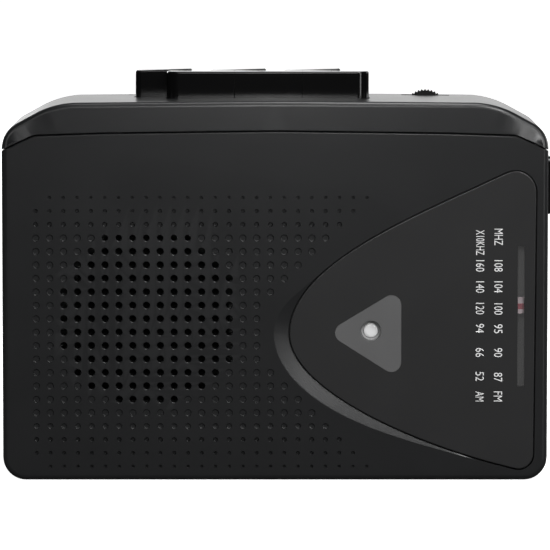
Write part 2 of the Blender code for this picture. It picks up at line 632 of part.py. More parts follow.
def main():
    for item in list(bpy.data.objects):
        bpy.data.objects.remove(item, do_unlink=True)
    shell = add_material("black_shell", (0.022, 0.023, 0.025), 0.5)
    gloss = add_material("gloss_black", (0.006, 0.006, 0.007), 0.12)
    dark = add_material("dark_plastic", (0.012, 0.012, 0.013), 0.45)
    smoke = add_material("smoked_lens", (0.018, 0.018, 0.02), 0.08)
    clear = add_material("clear_plastic", (0.6, 0.62, 0.62), 0.08, alpha=0.4)
    grey = add_material("grey_plastic", (0.09, 0.09, 0.09), 0.4)
    red = add_material("pointer_red", (0.45, 0.11, 0.14), 0.35)
    cream = add_material("cream_plastic", (0.55, 0.5, 0.38), 0.4)
    board = add_material("board_green", (0.03, 0.12, 0.05), 0.4)
    felt = add_material("black_felt", (0.008, 0.008, 0.008), 0.95)
    paper = add_material("cone_paper", (0.02, 0.02, 0.02), 0.85)
    ferrite = add_material("ferrite", (0.05, 0.05, 0.055), 0.55)
    copper = add_material("copper_wire", (0.6, 0.25, 0.1), 0.35, 1.0)
    brass = add_material("brass", (0.7, 0.5, 0.2), 0.3, 1.0)
    steel = add_material("zinc_steel", (0.5, 0.5, 0.5), 0.4, 1.0)
    bright = add_material("bright_steel", (0.7, 0.7, 0.7), 0.2, 1.0)
    rubber = add_material("black_rubber", (0.012, 0.012, 0.012), 0.8)

    build_case(shell)
    build_screws(steel)
    build_display(smoke, clear, grey, red, steel)
    build_speaker(felt, steel, paper, ferrite)
    build_radio(board, dark, cream, steel, copper, ferrite, gloss, brass)
    build_mechanism(steel, bright, rubber, dark, brass, bright)
    build_keys(gloss, steel)
    build_door(shell, clear)
    build_battery_bay(dark, shell, steel, bright)


main()
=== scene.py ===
"""The looks of the portable cassette radio: fine shells, lens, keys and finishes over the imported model.

Lengths are in millimetres until a mesh is made. The front faces -Y and the case stands on z = 0.
"""

import json
import math

import bmesh
import bpy
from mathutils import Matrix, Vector


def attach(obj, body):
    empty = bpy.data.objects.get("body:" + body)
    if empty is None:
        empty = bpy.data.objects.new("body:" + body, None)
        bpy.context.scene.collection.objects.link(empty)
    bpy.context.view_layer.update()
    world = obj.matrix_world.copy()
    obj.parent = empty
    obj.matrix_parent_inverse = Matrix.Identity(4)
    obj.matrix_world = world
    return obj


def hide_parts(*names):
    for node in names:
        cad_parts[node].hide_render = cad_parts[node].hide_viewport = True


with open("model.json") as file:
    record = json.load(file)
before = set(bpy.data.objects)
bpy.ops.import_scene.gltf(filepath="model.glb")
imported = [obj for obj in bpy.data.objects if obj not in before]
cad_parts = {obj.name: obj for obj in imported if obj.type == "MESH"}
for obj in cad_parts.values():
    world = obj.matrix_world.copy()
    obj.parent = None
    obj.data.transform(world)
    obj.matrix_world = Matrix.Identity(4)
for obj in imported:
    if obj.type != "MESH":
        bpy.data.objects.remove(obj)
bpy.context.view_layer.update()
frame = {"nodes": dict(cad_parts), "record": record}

MM = 0.001
HALF_WIDTH, TOP, WALL = 60.0, 83.7, 1.8
SIDE_TOP, SHOULDER = 76.9, (48.4, 83.25)
BASE_CORNER, SIDE_CORNER, SHOULDER_CORNER, TOP_CORNER = 5.1, 6, 20, 900
FRONT, BACK, SPLIT, GAP = -18.5, 18.5, -9.7, 0.3
EDGE_RADIUS = 1.2
PANEL_BACK = -16.1
SEAM_TOP, SEAM_KNEE, SEAM_BEND, SEAM_CORNER = 76.95, (38, 76.45), (53, 75.95), (58.9, 73.15)
SEAM_END = (75, 65.45)
SEAM_BEND_RADIUS, SEAM_FALL = 6, 0.475
BAND_FROM, BAND_LEAN, BAND_WIDTH, BAND_TURN, BAND_TURN_FROM = 60, 0.12, 7.0, 0.13, 50
POST_X, POST_LOW, POST_HIGH, POST_RADIUS, POST_BORE = 56.2, 10.0, 68.2, 1.9, 1.05
GRILLE_X, GRILLE_Z, GRILLE_PITCH_X, GRILLE_PITCH_Z = -52.5, 62.5, 3.03, -2.97
GRILLE_CENTRE, GRILLE_REACH, GRILLE_ROWS = (8.2, 8.88), 6.71, 21
FIRST_DIMPLES, LAST_DIMPLES, FULL_DIMPLE = (0.36, 0.44, 0.58), (0.68, 0.55, 0.43, 0.37), 0.8
LENS_FRONT, LENS_BACK, LENS_SEAT, LENS_CLEARANCE, SCOOP_WIDTH = -18.35, -17.3, -17.0, 0.25, 3.4
LENS_TIP, LENS_LOWER_END, LENS_UPPER_END = (3.2, 32.46), (49.3, 3.5), (46.9, 66.07)
LENS_LOWER_PULL, LENS_UPPER_PULL = ((3.2, 20.35), (29.84, 8.51)), ((3.2, 47.36), (29.2, 57.78))
LENS_CORNERS = ((56.9, 1.55, 3.3), (57.4, 70.97, 4.6))
SCOOP_SLOPE, SCOOP_CURVE, SCOOP_LOWER_REACH, SCOOP_UPPER_REACH = 0.25, 2.2, 46.0, 14.0
LED = (21.1, 33.05)
INDICATOR_CORNERS, INDICATOR_RADIUS = ((11.2, 32.7), (27.8, 22.15), (27.8, 42.7)), 2.2
DIAL_SLOT = (53.3, 54.9, 20.82, 51.89)
POINTER_Z, POINTER_HEIGHT = 38.6, 3.5
KEY_TOP, KEY_RIM, KEY_SEAM, KEY_SEAM_RADIUS, BLOCK_RADIUS = 89.5, 0.4, 0.34, 0.42, 2.6
FRONT_KEY_X, FRONT_KEY_PITCH, FRONT_KEY_Y = -24.05, 15.07, (-4.5, 1.5)
REAR_KEY_X, REAR_KEY_PITCH, REAR_KEY_WIDTH, REAR_KEY_Y = -31.2, 16.6, 12.6, (3.0, 9.5)
VOLUME, VOLUME_RADIUS, VOLUME_SLOT = (33.9, 79.75), 5.0, ((28.5, 39.3), (12.1, 14.9))
TUNING, TUNING_RADIUS = (47.0, 36.0), 13.5
SWITCH_SLOT, MICROPHONE = ((5.9, 9.1), (52.7, 63.3)), (-32.6, 13.6)
JACK_Y, HEADPHONE_Z, POWER_Z = -3, 43, 30
DOOR_HALF, DOOR_TOP, DOOR_Y = 54.0, 72.0, (16.5, 18.5)
HINGE_Y, HINGE_Z = 16.9, 4.0
COVER_LEFT, COVER_THICK, BAY_BACK, BAY_TOP = -54.0, 1.6, -0.95, 1.95
DIAL_COLUMNS = {
    49.1: (("MHZ", 53.82, 3.6), ("108", 47.44, 2.5), ("104", 42.78, 2.5), ("100", 37.92, 2.5),
           ("95", 33.57, 2.0), ("90", 28.31, 2.0), ("87", 22.84, 2.0), ("FM", 18.59, 2.2)),
    45.06: (("X10KHZ", 52.6, 5.5), ("160", 47.44, 2.5), ("140", 42.78, 2.5), ("120", 38.02, 2.5),
            ("94", 33.67, 2.0), ("66", 28.31, 2.0), ("52", 23.04, 2.0), ("AM", 18.59, 2.2)),
}
LETTER_HEIGHT = 1.85
CAMERA_AIM, CAMERA_TILT, CAMERA_DISTANCE, CAMERA_LENS = (0, -18.5, 45.45), 5.2, 1.0, 298


# ---------------------------------------------------------------- outlines

def rounded(corners, steps=8):
    """Closed outline through corners (u, v, radius), each corner turned into an arc."""
    points = []
    count = len(corners)
    for index, (u, v, radius) in enumerate(corners):
        here = Vector((u, v))
        before = (Vector(corners[index - 1][:2]) - here).normalized()
        after = (Vector(corners[(index + 1) % count][:2]) - here).normalized()
        if radius == 0:
            points.append((u, v))
            continue
        half = before.angle(after) / 2
        centre = here + (before + after).normalized() * radius / math.sin(half)
        start = here + before * radius / math.tan(half) - centre
        turn = start.angle_signed(here + after * radius / math.tan(half) - centre)
        for step in range(steps + 1):
            angle = -turn * step / steps
            cosine, sine = math.cos(angle), math.sin(angle)
            points.append((
                centre.x + start.x * cosine - start.y * sine,
                centre.y + start.x * sine + start.y * cosine,
            ))
    return points


def grown(outline, distance):
    """A counter-clockwise outline moved outwards by a distance, or by one distance per point."""
    count = len(outline)
    moved = []
    for index, point in enumerate(outline):
        here = Vector(point)
        ahead = (Vector(outline[(index + 1) % count]) - here).normalized()
        behind = (here - Vector(outline[index - 1])).normalized()
        normal = Vector((ahead.y + behind.y, -ahead.x - behind.x)).normalized()
        stretch = 1 / max(0.5, normal.dot(Vector((ahead.y, -ahead.x))))
        step = distance[index] if isinstance(distance, list) else distance
        moved.append(tuple(here + normal * step * stretch))
    return moved


def quarter_turn(steps):
    """Angles from 0 to 90 degrees."""
    return [math.pi / 2 * step / steps for step in range(steps + 1)]


def circle(radius, sides, centre=(0.0, 0.0)):
    return [
        (
            centre[0] + radius * math.cos(2 * math.pi * side / sides),
            centre[1] + radius * math.sin(2 * math.pi * side / sides),
        )
        for side in range(sides)
    ]


def rectangle(low_u, high_u, low_v, high_v):
    return [(low_u, low_v), (high_u, low_v), (high_u, high_v), (low_u, high_v)]


def soft_rectangle(low_u, high_u, low_v, high_v, radius, steps=8):
    return rounded([(u, v, radius) for u, v in rectangle(low_u, high_u, low_v, high_v)], steps)


def bezier(start, first, second, end, steps):
    """Points along a cubic curve, without its end point."""
    points = []
    for step in range(steps):
        t = step / steps
        weights = ((1 - t) ** 3, 3 * (1 - t) ** 2 * t, 3 * (1 - t) * t * t, t ** 3)
        points.append(tuple(
            sum(weight * point[axis] for weight, point in zip(weights, (start, first, second, end)))
            for axis in (0, 1)
        ))
    return points


def case_outline():
    x, z = SHOULDER
    return rounded([
        (-HALF_WIDTH, 0, BASE_CORNER), (HALF_WIDTH, 0, BASE_CORNER), (HALF_WIDTH, SIDE_TOP, SIDE_CORNER),
        (x, z, SHOULDER_CORNER), (0, TOP, TOP_CORNER), (-x, z, SHOULDER_CORNER),
        (-HALF_WIDTH, SIDE_TOP, SIDE_CORNER),
    ], 10)


def seam_outline(lift):
    """Everything below the seam between the front panel and the band over it."""
    half = [(*SEAM_END, 0), (*SEAM_CORNER, 0), (*SEAM_BEND, SEAM_BEND_RADIUS), (*SEAM_KNEE, 0)]
    seam = half + [(0, SEAM_TOP, 0)] + [(-x, z, radius) for x, z, radius in reversed(half)]
    side = SEAM_END[0]
    return rounded([(-side, -10, 0), (side, -10, 0)] + [(x, z + lift, radius) for x, z, radius in seam], 8)


def seam_height(x):
    """Height of the seam at a distance from the middle."""
    x = abs(x)
    if x < SEAM_KNEE[0]:
        return SEAM_TOP + (SEAM_KNEE[1] - SEAM_TOP) * x / SEAM_KNEE[0]
    if x < SEAM_BEND[0]:
        share = (x - SEAM_KNEE[0]) / (SEAM_BEND[0] - SEAM_KNEE[0])
        return SEAM_KNEE[1] + (SEAM_BEND[1] - SEAM_KNEE[1]) * share
    return SEAM_BEND[1] - (x - SEAM_BEND[0]) * SEAM_FALL


def lens_outline():
    """Two long curves from the tip, joined at the right by two tight corners."""
    lower = bezier(LENS_TIP, *LENS_LOWER_PULL, LENS_LOWER_END, 36)
    upper = bezier(LENS_TIP, *LENS_UPPER_PULL, LENS_UPPER_END, 36)
    corners = rounded([(*LENS_LOWER_END, 0), *LENS_CORNERS, (*LENS_UPPER_END, 0)], 12)
    return lower + corners + upper[:0:-1]


def scoop_widths(outline):
    """How far the scooped edge reaches beyond each point of the lens outline."""
    widths = []
    for u, v in outline:
        if v < LENS_TIP[1]:
            fade = min(1.0, max(0.0, (u - LENS_TIP[0]) / SCOOP_LOWER_REACH))
        else:
            fade = min(1.0, (v - LENS_TIP[1]) / SCOOP_UPPER_REACH)
        widths.append(LENS_CLEARANCE + SCOOP_WIDTH * math.cos(fade * math.pi / 2) ** SCOOP_CURVE)
    return widths


def indicator_outline():
    return rounded([(*corner, INDICATOR_RADIUS) for corner in INDICATOR_CORNERS], 8)


# ---------------------------------------------------------------- solids

def at(axis, level, u, v):
    """The point at a level along an axis, with u and v along the other two."""
    return {"X": (level, u, v), "Y": (u, level, v), "Z": (u, v, level)}[axis]


def add_rings(shape, rings, closed=False):
    """Skins a row of rings with equal counts; ends are capped unless the row closes on itself."""
    loops = [[shape.verts.new(Vector(point) * MM) for point in ring] for ring in rings]
    pairs = list(zip(loops, loops[1:])) + ([(loops[-1], loops[0])] if closed else [])
    for one, other in pairs:
        for index in range(len(one)):
            shape.faces.new((one[index - 1], one[index], other[index], other[index - 1]))
    if not closed:
        shape.faces.new(loops[0])
        shape.faces.new(loops[-1])


def add_prism(shape, outline, axis, low, high):
    add_rings(shape, [[at(axis, level, u, v) for u, v in outline] for level in (low, high)])


def add_box(shape, x, y, z):
    add_prism(shape, rectangle(x[0], x[1], y[0], y[1]), "Z", z[0], z[1])


def add_turned(shape, profile, centre, axis="Y", sides=48, closed=False):
    add_rings(shape, [
        [at(axis, level, u, v) for u, v in circle(radius, sides, centre)] for radius, level in profile
    ], closed)


def add_stepped(shape, outline, axis, levels):
    """A prism whose outline is grown by a different distance at each level."""
    add_rings(shape, [
        [at(axis, level, u, v) for u, v in grown(outline, distance)] for level, distance in levels
    ])


def mesh_of(name, build):
    """The mesh of what a function adds to an empty shape."""
    shape = bmesh.new()
    build(shape)
    bmesh.ops.recalc_face_normals(shape, faces=shape.faces)
    mesh = bpy.data.meshes.new(name)
    shape.to_mesh(mesh)
    shape.free()
    return mesh


def carve(piece, build, operation="DIFFERENCE"):
    """Cuts from, adds to or keeps part of a piece, and applies the result at once."""
    helper = bpy.data.objects.new("helper", mesh_of("helper", build))
    bpy.context.scene.collection.objects.link(helper)
    cut = piece.modifiers.new("cut", "BOOLEAN")
    cut.operation, cut.solver, cut.object = operation, "EXACT", helper
    apply_modifiers(piece)
    bpy.data.objects.remove(helper, do_unlink=True)


def apply_modifiers(piece):
    bpy.context.view_layer.update()
    graph = bpy.context.evaluated_depsgraph_get()
    result = bpy.data.meshes.new_from_object(piece.evaluated_get(graph), depsgraph=graph)
    piece.modifiers.clear()
    piece.data = result


def add_piece(name, material, build, body, replaces=()):
    """A piece that rides on a body, in place of the frame's own nodes where it replaces any."""
    piece = bpy.data.objects.new(name, mesh_of(name, build))
    bpy.context.scene.collection.objects.link(piece)
    piece.data.materials.append(material)
    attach(piece, body)
    if replaces:
        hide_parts(*replaces)
    return piece


def finish_piece(piece, angle=32):
    """Smooth shading that keeps real edges sharp and flat faces flat."""
    piece.data.shade_smooth()
    piece.data.set_sharp_from_angle(angle=math.radians(angle))
    normals = piece.modifiers.new("even_normals", "WEIGHTED_NORMAL")
    normals.keep_sharp = True
    normals.weight = 100


# ---------------------------------------------------------------- materials

def surface(name, colour, roughness, grain=0.3, grain_size=0.35, bump=0.012, metallic=0.0, specular=0.5,
            coat=0.0, alpha=1.0, transmission=0.0, mottle=0.12, wear=0.0, sheen=0.0, stretch=(1, 1, 1)):
    """A moulded, brushed or woven finish: fine relief, uneven gloss, faint mottling and rubbed edges."""
    material = bpy.data.materials.new(name)
    material.use_nodes = True
    nodes, links = material.node_tree.nodes, material.node_tree.links
    shader = nodes["Principled BSDF"]
    shader.inputs["Metallic"].default_value = metallic
    shader.inputs["Specular IOR Level"].default_value = specular
    shader.inputs["Coat Weight"].default_value = coat
    shader.inputs["Coat Roughness"].default_value = 0.06
    shader.inputs["Alpha"].default_value = alpha
    shader.inputs["Transmission Weight"].default_value = transmission
    shader.inputs["Sheen Weight"].default_value = sheen
    place = nodes.new("ShaderNodeTexCoord")
    scale = nodes.new("ShaderNodeMapping")
    scale.inputs["Scale"].default_value = stretch
    links.new(place.outputs["Object"], scale.inputs["Vector"])

    def noise(size, detail):
        texture = nodes.new("ShaderNodeTexNoise")
        texture.inputs["Scale"].default_value = 1 / (size * MM)
        texture.inputs["Detail"].default_value = detail
        links.new(scale.outputs["Vector"], texture.inputs["Vector"])
        return texture.outputs["Fac"]

    broad, fine = noise(14, 3), noise(grain_size, 2)
    tint = nodes.new("ShaderNodeMix")
    tint.data_type = "RGBA"
    tint.inputs["A"].default_value = (*(part * (1 - mottle) for part in colour), 1)
    tint.inputs["B"].default_value = (*(part * (1 + mottle) for part in colour), 1)
    links.new(broad, tint.inputs["Factor"])
    tinted = tint.outputs["Result"]
    if wear:
        geometry = nodes.new("ShaderNodeNewGeometry")
        edge = nodes.new("ShaderNodeMapRange")
        edge.inputs["From Min"].default_value = 0.54
        edge.inputs["From Max"].default_value = 0.62
        edge.inputs["To Max"].default_value = wear
        links.new(geometry.outputs["Pointiness"], edge.inputs["Value"])
        worn = nodes.new("ShaderNodeMix")
        worn.data_type = "RGBA"
        worn.inputs["B"].default_value = (*(part * 1.8 + 0.01 for part in colour), 1)
        links.new(edge.outputs["Result"], worn.inputs["Factor"])
        links.new(tinted, worn.inputs["A"])
        tinted = worn.outputs["Result"]
    links.new(tinted, shader.inputs["Base Color"])
    gloss = nodes.new("ShaderNodeMapRange")
    gloss.inputs["To Min"].default_value = roughness * (1 - grain * 0.4)
    gloss.inputs["To Max"].default_value = min(1.0, roughness * (1 + grain * 0.4))
    uneven = nodes.new("ShaderNodeMix")
    uneven.inputs["Factor"].default_value = 0.4
    links.new(fine, uneven.inputs["A"])
    links.new(broad, uneven.inputs["B"])
    links.new(uneven.outputs["Result"], gloss.inputs["Value"])
    links.new(gloss.outputs["Result"], shader.inputs["Roughness"])
    relief = nodes.new("ShaderNodeBump")
    relief.inputs["Strength"].default_value = grain
    relief.inputs["Distance"].default_value = bump * MM
    links.new(fine, relief.inputs["Height"])
    links.new(relief.outputs["Normal"], shader.inputs["Normal"])
    return material


SHELL = surface("black_shell", (0.0095, 0.0098, 0.0104), 0.31, grain=0.45, grain_size=0.3, bump=0.02,
                specular=0.42, mottle=0.1, wear=0.25)
GLOSS = surface("gloss_black", (0.002, 0.002, 0.0021), 0.12, grain=0.12, grain_size=1.2, bump=0.004,
                specular=0.36, mottle=0.15)
LENS = surface("smoked_lens", (0.019, 0.019, 0.0195), 0.28, grain=0.1, grain_size=2.0, bump=0.002,
               specular=0.45, mottle=0.12)
WINDOW = surface("clear_window", (0.12, 0.12, 0.12), 0.1, grain=0.1, grain_size=2.0, bump=0.002, alpha=0.25)
GREY = surface("grey_plastic", (0.28, 0.28, 0.28), 0.4, grain=0.2, mottle=0.06)
POINTER_PALE = surface("pointer_pale", (0.8, 0.66, 0.7), 0.4, grain=0.2, mottle=0.05)
PRINT = surface("white_print", (0.78, 0.78, 0.78), 0.5, grain=0.2, grain_size=0.1, mottle=0.04)
DARK = surface("dark_plastic", (0.004, 0.004, 0.0042), 0.5, grain=0.35, specular=0.12, mottle=0.15, wear=0.3)
CLEAR = surface("clear_plastic", (0.75, 0.77, 0.77), 0.06, grain=0.1, grain_size=2.0, bump=0.002,
                transmission=0.9)
SMOKE = surface("smoked_window", (0.112, 0.112, 0.113), 0.3, grain=0.15, grain_size=0.5, bump=0.003,
                mottle=0.12, alpha=0.9)
# Painted light: the LED is clear plastic, and this opaque white colour stands in for how bright it shows.
LED_PAINTED_LIGHT = surface("led_painted_light", (0.8, 0.8, 0.8), 0.15, grain=0.1, grain_size=1.5, bump=0.002, mottle=0.2,
                coat=0.5)
FINISHES = {
    "black_shell": SHELL, "gloss_black": GLOSS, "dark_plastic": DARK, "smoked_lens": LENS,
    "clear_plastic": CLEAR, "grey_plastic": GREY,
    "pointer_red": surface("pointer_red", (0.5, 0.1, 0.14), 0.35, grain=0.2, mottle=0.1),
    "cream_plastic": surface("cream_plastic", (0.55, 0.5, 0.38), 0.4, grain=0.2),
    "board_green": surface("board_green", (0.02, 0.11, 0.04), 0.35, grain=0.5, grain_size=1.4, mottle=0.4),
    "black_felt": surface("black_felt", (0.004, 0.004, 0.004), 0.97, grain=0.9, grain_size=0.25, bump=0.08,
                          specular=0.1, sheen=0.05),
    "cone_paper": surface("cone_paper", (0.015, 0.015, 0.015), 0.85, grain=0.8, grain_size=0.5, bump=0.05),
    "ferrite": surface("ferrite", (0.05, 0.05, 0.055), 0.55, grain=0.6, mottle=0.25),
    "copper_wire": surface("copper_wire", (0.62, 0.27, 0.12), 0.35, metallic=1, stretch=(8, 1, 1)),
    "brass": surface("brass", (0.7, 0.5, 0.2), 0.3, metallic=1),
    "zinc_steel": surface("zinc_steel", (0.5, 0.5, 0.5), 0.38, metallic=1, mottle=0.2, stretch=(1, 1, 6)),
    "bright_steel": surface("bright_steel", (0.7, 0.7, 0.7), 0.22, metallic=1, stretch=(1, 6, 1)),
    "black_rubber": surface("black_rubber", (0.012, 0.012, 0.012), 0.8, grain=0.6, specular=0.3),
}


def finish_frame_nodes():
    """Gives every node of the frame the finish of its slot."""
    for entry in frame["record"]["subparts"]:
        node = frame["nodes"][entry["node"]]
        node.data.materials.clear()
        node.data.materials.append(FINISHES[entry["material_slot"]])


# ---------------------------------------------------------------- case

def case_points():
    """The case outline, with more points where the shoulders turn."""
    points = []
    sharp = case_outline()
    for index, point in enumerate(sharp):
        before = Vector(sharp[index - 1])
        on_shoulder = 41 < abs(point[0]) < 59.5 and point[1] > 70
        pieces = max(1, round((Vector(point) - before).length / 0.8)) if on_shoulder else 1
        for step in range(1, pieces + 1):
            points.append(tuple(before.lerp(Vector(point), step / pieces)))
    return points


def add_case_block(shape, back):
    """The outer body up to a back plane: edges rounded, the band over the seam leaning back a little."""
    outline = case_points()
    flat, turned = [], []
    for u, v in outline:
        if v > BAND_FROM:
            gap = v - seam_height(u)
            corner = min(1.0, max(0.0, (abs(u) - 47) / 4))
            turned.append(BAND_TURN * max(0.0, abs(u) - BAND_TURN_FROM) * min(1.0, max(0.0, gap) / 5))
            flat.append(max(EDGE_RADIUS, min(BAND_WIDTH, gap * (1 - 0.157 * corner))))
        else:
            turned.append(0.0)
            flat.append(EDGE_RADIUS)
    rings = [[(u, FRONT, v) for u, v in grown(outline, [-reach for reach in flat])]]
    for angle in quarter_turn(8):
        depth = FRONT + EDGE_RADIUS * (1 - math.cos(angle))
        moved = grown(outline, -EDGE_RADIUS * (1 - math.sin(angle)))
        rings.append([
            (u, depth + (BAND_LEAN * (reach - EDGE_RADIUS) / 6 + side), v)
            for (u, v), reach, side in zip(moved, flat, turned)
        ])
    if back == BACK:
        for angle in quarter_turn(8):
            moved = grown(outline, -EDGE_RADIUS * (1 - math.cos(angle)))
            rings.append([(u, BACK - EDGE_RADIUS * (1 - math.sin(angle)), v) for u, v in moved])
    else:
        rings.append([(u, back, v) for u, v in outline])
    add_rings(shape, rings)


def add_posts(shape, radius, low, high, sides=24):
    for x in (-POST_X, POST_X):
        for z in (POST_LOW, POST_HIGH):
            add_turned(shape, [(radius, low), (radius, high)], (x, z), sides=sides)


def dimple_radius(row):
    """Blind dimples grow over the first rows and shrink again over the last ones."""
    if row < len(FIRST_DIMPLES):
        return FIRST_DIMPLES[row]
    last = GRILLE_ROWS - len(LAST_DIMPLES)
    return LAST_DIMPLES[row - last] if row >= last else FULL_DIMPLE


def add_grille(shape):
    """Open holes over the loudspeaker, and blind dimples over the rest of the grid."""
    for row in range(GRILLE_ROWS):
        first = 1 if row in (0, GRILLE_ROWS - 1) else 0
        last = max(16, 24 - row, row + 4)
        for column in range(first, min(24, last) + 1):
            x = GRILLE_X + GRILLE_PITCH_X * column
            z = GRILLE_Z + GRILLE_PITCH_Z * row
            if math.hypot(column - GRILLE_CENTRE[0], row - GRILLE_CENTRE[1]) < GRILLE_REACH:
                radius = 0.66 if row == 3 else 0.75
                add_turned(shape, [
                    (radius + 0.65, FRONT - 0.5), (radius, FRONT + 0.12), (radius, PANEL_BACK + 1),
                ], (x, z), sides=20)
            else:
                radius = dimple_radius(row)
                side, floor = (0.24, 0.27) if radius > 0.6 else (0.55, 0.6)
                add_turned(shape, [
                    (radius + 0.5, FRONT - 0.5), (radius, FRONT), (radius * 0.94, FRONT + 0.05),
                    (radius * 0.82, FRONT + side), (radius * 0.7, FRONT + floor),
                ], (x, z), sides=16)


def add_lens_seat(shape):
    """The lens pocket and the scooped edge that runs into it."""
    lens = lens_outline()
    widths = scoop_widths(lens)
    rings = [[(u, FRONT - 1, v) for u, v in grown(lens, [w + 0.9 for w in widths])]]
    for share in (0, 0.05, 0.1, 0.5, 1):
        fall = share * share / 0.2 if share < 0.1 else share - 0.05
        reach = [LENS_CLEARANCE + (width - LENS_CLEARANCE) * (1 - share) for width in widths]
        rings.append([
            (u, FRONT + SCOOP_SLOPE * fall * max(0.4, width - LENS_CLEARANCE), v)
            for (u, v), width in zip(grown(lens, reach), widths)
        ])
    rings.append([(u, LENS_SEAT, v) for u, v in grown(lens, LENS_CLEARANCE)])
    add_rings(shape, rings)


def build_panel():
    panel = add_piece("front_panel", SHELL, lambda shape: add_case_block(shape, SPLIT - GAP),
                      "case", ["front_cover"])
    carve(panel, lambda shape: add_stepped(
        shape, seam_outline(0), "Y", [(FRONT - 2, -2.2), (FRONT + 0.22, 0), (SPLIT + 5, 0)]), "INTERSECT")
    carve(panel, lambda shape: add_prism(
        shape, grown(case_outline(), -WALL), "Y", PANEL_BACK, SPLIT + 5))
    carve(panel, lambda shape: add_posts(shape, POST_RADIUS, PANEL_BACK - 0.5, SPLIT - GAP), "UNION")
    carve(panel, lambda shape: add_posts(shape, POST_BORE, -13.4, SPLIT + 5))
    carve(panel, add_lens_seat)
    carve(panel, add_grille)

    def add_windows(shape):
        add_prism(shape, rectangle(*DIAL_SLOT), "Y", FRONT, PANEL_BACK + 1)
        add_prism(shape, circle(1.8, 32, LED), "Y", FRONT, PANEL_BACK + 1)
        add_box(shape, (COVER_LEFT - GAP, 61), (-15.75, SPLIT + 5), (-1, BAY_TOP))
    carve(panel, add_windows)
    carve(panel, lambda shape: add_prism(shape, grown(indicator_outline(), 0.15), "Y", FRONT, -16.4))
    finish_piece(panel)


def build_seam_lip():
    """A dark strip inside the case, behind the open seam."""
    across = [-52 + 4 * step for step in range(27)]
    lower = [(x, seam_height(x) - 1.2) for x in across]
    upper = [(x, seam_height(x) + 1.3) for x in reversed(across)]
    finish_piece(add_piece("seam_lip", DARK, lambda shape: add_prism(shape, lower + upper, "Y", -16.4, -15.8),
                           "case"))


def add_key_slots(shape):
    """One slot for the block of front keys, and one for each key behind it."""
    slot_end = FRONT_KEY_X + 3 * FRONT_KEY_PITCH
    add_prism(shape, soft_rectangle(FRONT_KEY_X - GAP, slot_end, -4.8, 1.8, 1.8, 6), "Z", 78, 90)
    for index in range(3):
        x = REAR_KEY_X + REAR_KEY_PITCH * index
        add_box(shape, (x - GAP, x + REAR_KEY_WIDTH + GAP), (2.7, 9.8), (78, 90))


def add_shell_openings(shape):
    add_box(shape, (COVER_LEFT - GAP, 61), (SPLIT - 5, BAY_BACK), (-1, BAY_TOP))
    add_key_slots(shape)
    add_box(shape, *VOLUME_SLOT, (80.5, 90))
    add_prism(shape, circle(0.6, 16, MICROPHONE), "Z", 80, 90)
    add_turned(shape, [(TUNING_RADIUS + GAP, -2.5), (TUNING_RADIUS + GAP, 0.9)], TUNING, sides=80)
    add_box(shape, (57.5, 61), *SWITCH_SLOT)
    for z in (HEADPHONE_Z, POWER_Z):
        add_turned(shape, [(2.3, -61), (2.3, -57)], (JACK_Y, z), "X", 32)
    for side in (-1, 1):
        add_turned(shape, [(1.0, side * 54.0), (1.0, side * 56.0)], (HINGE_Y, HINGE_Z), "X", 24)


def build_shell():
    shell = add_piece("case_shell", SHELL, lambda shape: add_case_block(shape, BACK),
                      "case", ["rear_case"])
    carve(shell, lambda shape: add_stepped(
        shape, seam_outline(GAP), "Y", [(FRONT - 2, 2.1), (FRONT + 0.1, 0), (SPLIT, 0)]))
    carve(shell, lambda shape: add_prism(shape, grown(case_outline(), -WALL), "Y", FRONT + 2.4, 16.3))
    carve(shell, lambda shape: add_posts(shape, POST_RADIUS, SPLIT, 16.6), "UNION")
    carve(shell, lambda shape: add_posts(shape, POST_BORE, SPLIT - 1, 16.8))
    carve(shell, lambda shape: add_posts(shape, 1.75, 16.6, BACK + 1, 32))
    carve(shell, lambda shape: add_box(
        shape, (-DOOR_HALF - GAP, DOOR_HALF + GAP), (15, 20), (2.1, DOOR_TOP + GAP)))
    carve(shell, add_shell_openings)
    finish_piece(shell)


# ---------------------------------------------------------------- dial

def build_lens():
    def add_lens(shape):
        rim = 0.25
        levels = [(LENS_FRONT + rim * (1 - math.cos(angle)), -rim * (1 - math.sin(angle)))
                  for angle in quarter_turn(4)]
        add_stepped(shape, lens_outline(), "Y", levels + [(LENS_BACK, 0)])
    lens = add_piece("lens", LENS, add_lens, "case", ["dial_lens"])
    carve(lens, lambda shape: add_prism(shape, rectangle(*DIAL_SLOT), "Y", FRONT - 1, LENS_SEAT))
    carve(lens, lambda shape: add_prism(shape, indicator_outline(), "Y", FRONT - 1, LENS_SEAT))
    finish_piece(lens)
    slot = rounded([(u, v, 0.1) for u, v in grown(rectangle(*DIAL_SLOT), -0.03)])
    finish_piece(add_piece("dial_slot_window", WINDOW, lambda shape: add_prism(
        shape, slot, "Y", LENS_FRONT + 0.03, LENS_BACK), "case"))
    window = add_piece("indicator_window", SMOKE, lambda shape: add_prism(
        shape, grown(indicator_outline(), -0.03), "Y", LENS_FRONT + 0.03, LENS_BACK), "case")
    carve(window, lambda shape: add_prism(shape, circle(2.28, 48, LED), "Y", FRONT - 1, LENS_SEAT))
    finish_piece(window)


def build_led():
    ring = add_piece("led_collar", GREY, lambda shape: add_turned(shape, [
        (1.72, -16.95), (1.78, -17.05), (2.1, -17.1), (2.2, -17.0), (2.2, -16.9), (1.72, -16.9),
    ], LED, closed=True), "case")
    finish_piece(ring)
    # Painted light: the LED body is opaque white in place of its clear plastic, so that it shows bright.
    body = add_piece("led_body", LED_PAINTED_LIGHT, lambda shape: add_turned(shape, [
        (0.5, -17.2), (1.0, -17.17), (1.4, -17.1), (1.6, -16.98), (1.68, -16.7), (1.68, -12), (2.2, -11.9),
        (2.2, -9.3)], LED), "case", ["indicator_led"])
    finish_piece(body, 50)


